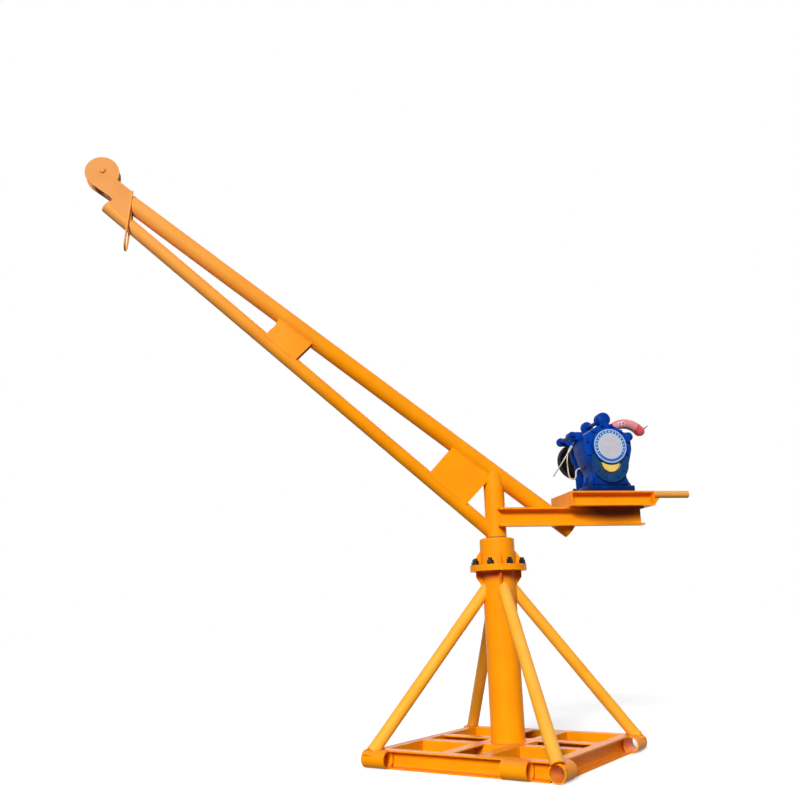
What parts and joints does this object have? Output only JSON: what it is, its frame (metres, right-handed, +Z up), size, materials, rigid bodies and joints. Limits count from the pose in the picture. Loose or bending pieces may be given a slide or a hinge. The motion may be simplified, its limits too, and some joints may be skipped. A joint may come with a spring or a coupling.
{
  "type": "portable slewing mini crane",
  "caption": "Portable slewing mini crane: square channel base with a braced column, ribbed turning hub, welded tube boom with a head sheave, and an electric drum winch on a rear bracket.",
  "frame": {"origin": "centre of the square base, on the floor, under the column's axis", "axes": "+Z up along the column; +X towards the winch and away from the boom's head; -Y is the side of the winch's gearbox"},
  "size_m": [2.6562, 1.1986, 2.5881],
  "materials": {
    "frame_paint": "semi-gloss orange-yellow paint",
    "head_paint": "semi-gloss orange-yellow paint, lighter coat",
    "winch_paint": "gloss blue paint over cast iron",
    "motor_paint": "dark blue paint",
    "badge_plate": "bare printed plate with no marks",
    "cap_brass": "cream paint",
    "bright_steel": "machined",
    "rope_steel": "greased wire rope",
    "black_plastic": "matte",
    "pendant_plastic": "red plastic",
    "lead_sheath": "cream sheath"
  },
  "bodies": {
    "base": {"side_channel_front_left": "frame_paint", "side_channel_front_right": "frame_paint", "side_channel_back_right": "frame_paint", "side_channel_back_left": "frame_paint", "cross_angles": "frame_paint", "tie_angles": "frame_paint", "sockets_front_left": "frame_paint", "sockets_front_right": "frame_paint", "sockets_back_right": "frame_paint", "column": "frame_paint", "struts": "head_paint", "column_flange": "frame_paint", "column_ribs": "frame_paint", "hub": "frame_paint", "hub_ribs": "frame_paint"},
    "slewing_boom": {"mast": "frame_paint", "top_chord": "frame_paint", "bottom_chord": "frame_paint", "mid_gussets": "frame_paint", "mast_gussets": "frame_paint", "head_plates": "head_paint", "head_spacer": "head_paint", "guard_loop": "frame_paint", "sheave_pin": "bright_steel", "beam": "frame_paint", "bracket_end_near": "frame_paint", "bracket_end_far": "frame_paint", "bracket_side_front": "frame_paint", "bracket_side_back": "frame_paint", "push_handle": "frame_paint", "handle_gusset": "frame_paint", "gearbox_foot": "winch_paint", "gearbox": "winch_paint", "gearbox_cover": "winch_paint", "badge": "badge_plate", "bearing_cover": "winch_paint", "bearing_cap": "cap_brass", "drum_shaft": "bright_steel", "motor_foot": "winch_paint", "motor_plate": "winch_paint", "motor": "motor_paint", "fan_cover": "motor_paint", "capacitor": "black_plastic", "tie_rods": "bright_steel", "pendant": "pendant_plastic", "pendant_stub": "black_plastic", "lead_gland": "black_plastic", "lead": "lead_sheath"},
    "sheave": {"sheave": "bright_steel"},
    "drum": {"drum": "motor_paint", "drum_rope": "rope_steel"}
  },
  "joints": [
    {"name": "slew", "type": "hinge", "parent": "base", "child": "slewing_boom", "pos_m": [0, 0, 0.8], "axis": [0, 0, 1], "continuous": true},
    {"name": "sheave_spin", "type": "hinge", "parent": "slewing_boom", "child": "sheave", "pos_m": [-1.721, 0, 2.52514], "axis": [0, 1, 0], "continuous": true},
    {"name": "drum_spin", "type": "hinge", "parent": "slewing_boom", "child": "drum", "pos_m": [0.508, 0.0625, 1.2842], "axis": [0, 1, 0], "continuous": true}
  ]
}
